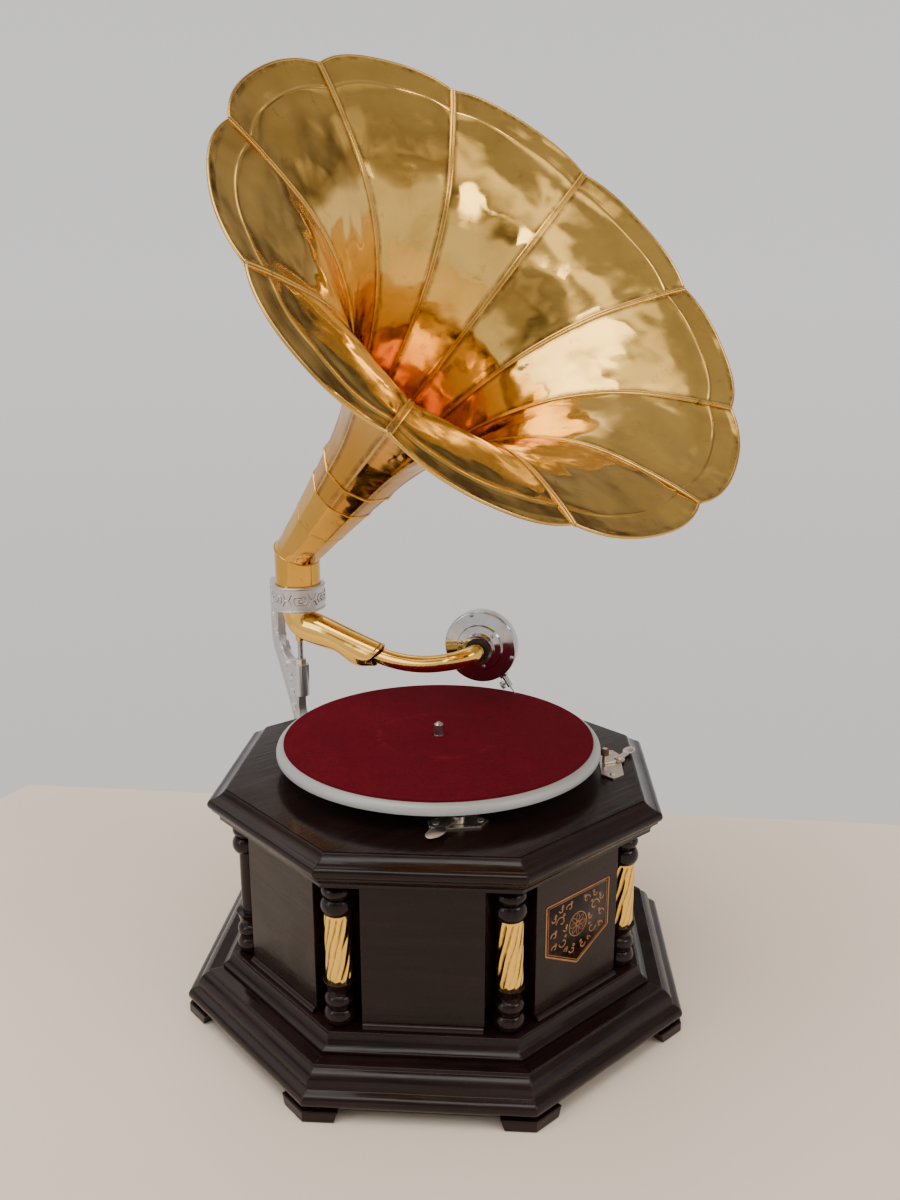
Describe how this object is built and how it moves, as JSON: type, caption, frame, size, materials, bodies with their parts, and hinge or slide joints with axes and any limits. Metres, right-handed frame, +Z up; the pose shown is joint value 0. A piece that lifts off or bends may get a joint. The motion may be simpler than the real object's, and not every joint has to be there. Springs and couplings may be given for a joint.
{
  "type": "wind-up horn phonograph",
  "caption": "Spring-driven disc player: octagonal wooden case with turned corner columns, felt turntable, swivelling brass flower horn on a cast bracket, and a side winding crank.",
  "frame": {"origin": "on the turntable's axis, level with the table that the feet stand on", "axes": "+Z up along the turntable's spindle; -Y towards the front of the case, where the horn's mouth points; +X towards the winding crank"},
  "size_m": [0.4611, 0.4389, 0.7],
  "materials": {
    "wood": "dark mahogany, gloss lacquer",
    "plywood": "plain",
    "gilt": "polished, spiral folded",
    "cast_aluminium": "cast and polished",
    "nickel": "nickel plated, worn",
    "steel": "bright",
    "bronze": "turned",
    "platter_paint": "grey silver paint, slightly rusted",
    "felt": "crimson felt",
    "gear_brass": "machined",
    "spring_steel": "blued",
    "grip_wood": "lacquered",
    "leather": "plain",
    "brass": "polished, tarnished near the seams",
    "rubber": "matt",
    "chrome": "polished",
    "mica": "thin sheet",
    "solder_brass": "soldered seams"
  },
  "bodies": {
    "case": {"feet": "wood", "plinth_skirt": "wood", "plinth_cap": "wood", "bottom_board": "plywood", "case_panels": "wood", "corner_posts": "wood", "columns": "wood", "gilt_sleeves": "gilt", "top_moulding": "wood", "motor_board": "wood", "bracket": "cast_aluminium", "wood_screws": "nickel", "pivot_rod": "steel", "pivot_nut": "steel", "motor_top_plate": "steel", "motor_bottom_plate": "steel", "motor_pillars": "steel", "motor_bolts": "steel", "plate_bushes": "bronze", "crank_bearing": "steel", "escutcheon": "nickel", "control_plates": "nickel"},
    "turntable": {"platter": "platter_paint", "felt": "felt", "spindle": "steel", "spindle_wheel": "gear_brass"},
    "drive": {"drive_arbor": "steel", "drive_wheel": "gear_brass"},
    "barrel": {"spring_barrel": "steel", "barrel_wheel": "gear_brass", "mainspring": "spring_steel"},
    "arbor": {"barrel_arbor": "steel", "bevel_wheel": "steel", "ratchet_wheel": "steel"},
    "governor": {"governor_shaft": "steel", "governor_collars": "gear_brass", "governor_weights": "gear_brass"},
    "click": {"click_pawl": "steel"},
    "crank": {"crank_arm": "nickel", "bevel_pinion": "steel", "grip_pin": "nickel"},
    "grip": {"crank_grip": "grip_wood"},
    "speed": {"speed_lever": "nickel"},
    "brake": {"brake_lever": "nickel", "brake_shoe": "leather"},
    "arm": {"tonearm": "brass", "collar_bush": "rubber"},
    "soundbox_arm": {"gooseneck": "brass", "soundbox_back": "chrome", "soundbox_rim": "chrome", "soundbox_rubbers": "rubber", "soundbox_screws": "chrome", "diaphragm": "mica", "stylus_bar": "chrome", "needle": "steel"},
    "needle_screw": {"thumb_screw": "chrome"},
    "horn": {"horn_socket": "brass", "horn_neck": "brass", "horn_petals": "brass", "horn_seams": "solder_brass"}
  },
  "joints": [
    {"name": "platter_spin", "type": "hinge", "parent": "case", "child": "turntable", "pos_m": [0, 0, 0.2], "axis": [0, 0, 1], "continuous": true},
    {"name": "drive_spin", "type": "hinge", "parent": "case", "child": "drive", "pos_m": [0.02267, 0.02987, 0.11], "axis": [0, 0, 1], "continuous": true},
    {"name": "barrel_spin", "type": "hinge", "parent": "case", "child": "barrel", "pos_m": [0.064, 0, 0.13], "axis": [0, 0, 1], "continuous": true},
    {"name": "governor_spin", "type": "hinge", "parent": "case", "child": "governor", "pos_m": [-0.02461, -0.02461, 0.12], "axis": [0, 0, 1], "continuous": true},
    {"name": "crank_turn", "type": "hinge", "parent": "case", "child": "crank", "pos_m": [0.19, 0, 0.1], "axis": [1, 0, 0], "continuous": true},
    {"name": "arbor_turn", "type": "hinge", "parent": "case", "child": "arbor", "pos_m": [0.064, 0, 0.11], "axis": [0, 0, 1], "continuous": true},
    {"name": "grip_spin", "type": "hinge", "parent": "crank", "child": "grip", "pos_m": [0.23, 0.08, 0.1], "axis": [1, 0, 0], "continuous": true},
    {"name": "click_swing", "type": "hinge", "parent": "case", "child": "click", "pos_m": [0.0847, -0.0174, 0.15], "axis": [0, 0, 1], "range_deg": [0, 15], "stiffness_Nm_per_rad": 0.02, "springref_deg": -8.59},
    {"name": "speed_swing", "type": "hinge", "parent": "case", "child": "speed", "pos_m": [-0.062, -0.093, 0.18], "axis": [0, 0, 1], "range_deg": [-12, 12]},
    {"name": "brake_swing", "type": "hinge", "parent": "case", "child": "brake", "pos_m": [0.104, -0.097, 0.183], "axis": [0, 0, 1], "range_deg": [0, 25]},
    {"name": "horn_swivel", "type": "hinge", "parent": "case", "child": "horn", "pos_m": [0, 0.195, 0.28], "axis": [0, 0, 1], "range_deg": [-180, 180]},
    {"name": "tonearm_swing", "type": "hinge", "parent": "case", "child": "arm", "pos_m": [0, 0.195, 0.272], "axis": [0, 0, 1], "range_deg": [-19.5, 30]},
    {"name": "soundbox_throwback", "type": "hinge", "parent": "arm", "child": "soundbox_arm", "pos_m": [0.02969, 0.11642, 0.23588], "axis": [0.3444, -0.9115, -0.225], "range_deg": [0, 110]},
    {"name": "needle_screw_turn", "type": "hinge", "parent": "soundbox_arm", "child": "needle_screw", "pos_m": [0.11035, 0.03456, 0.21332], "axis": [-0.4466, 0.6646, -0.599], "continuous": true}
  ],
  "couplings": [
    {"joint": "drive_spin", "follows": "platter_spin", "ratio": -0.25},
    {"joint": "barrel_spin", "follows": "platter_spin", "ratio": 0.039773},
    {"joint": "governor_spin", "follows": "platter_spin", "ratio": -6.25},
    {"joint": "arbor_turn", "follows": "crank_turn", "ratio": -0.5}
  ]
}
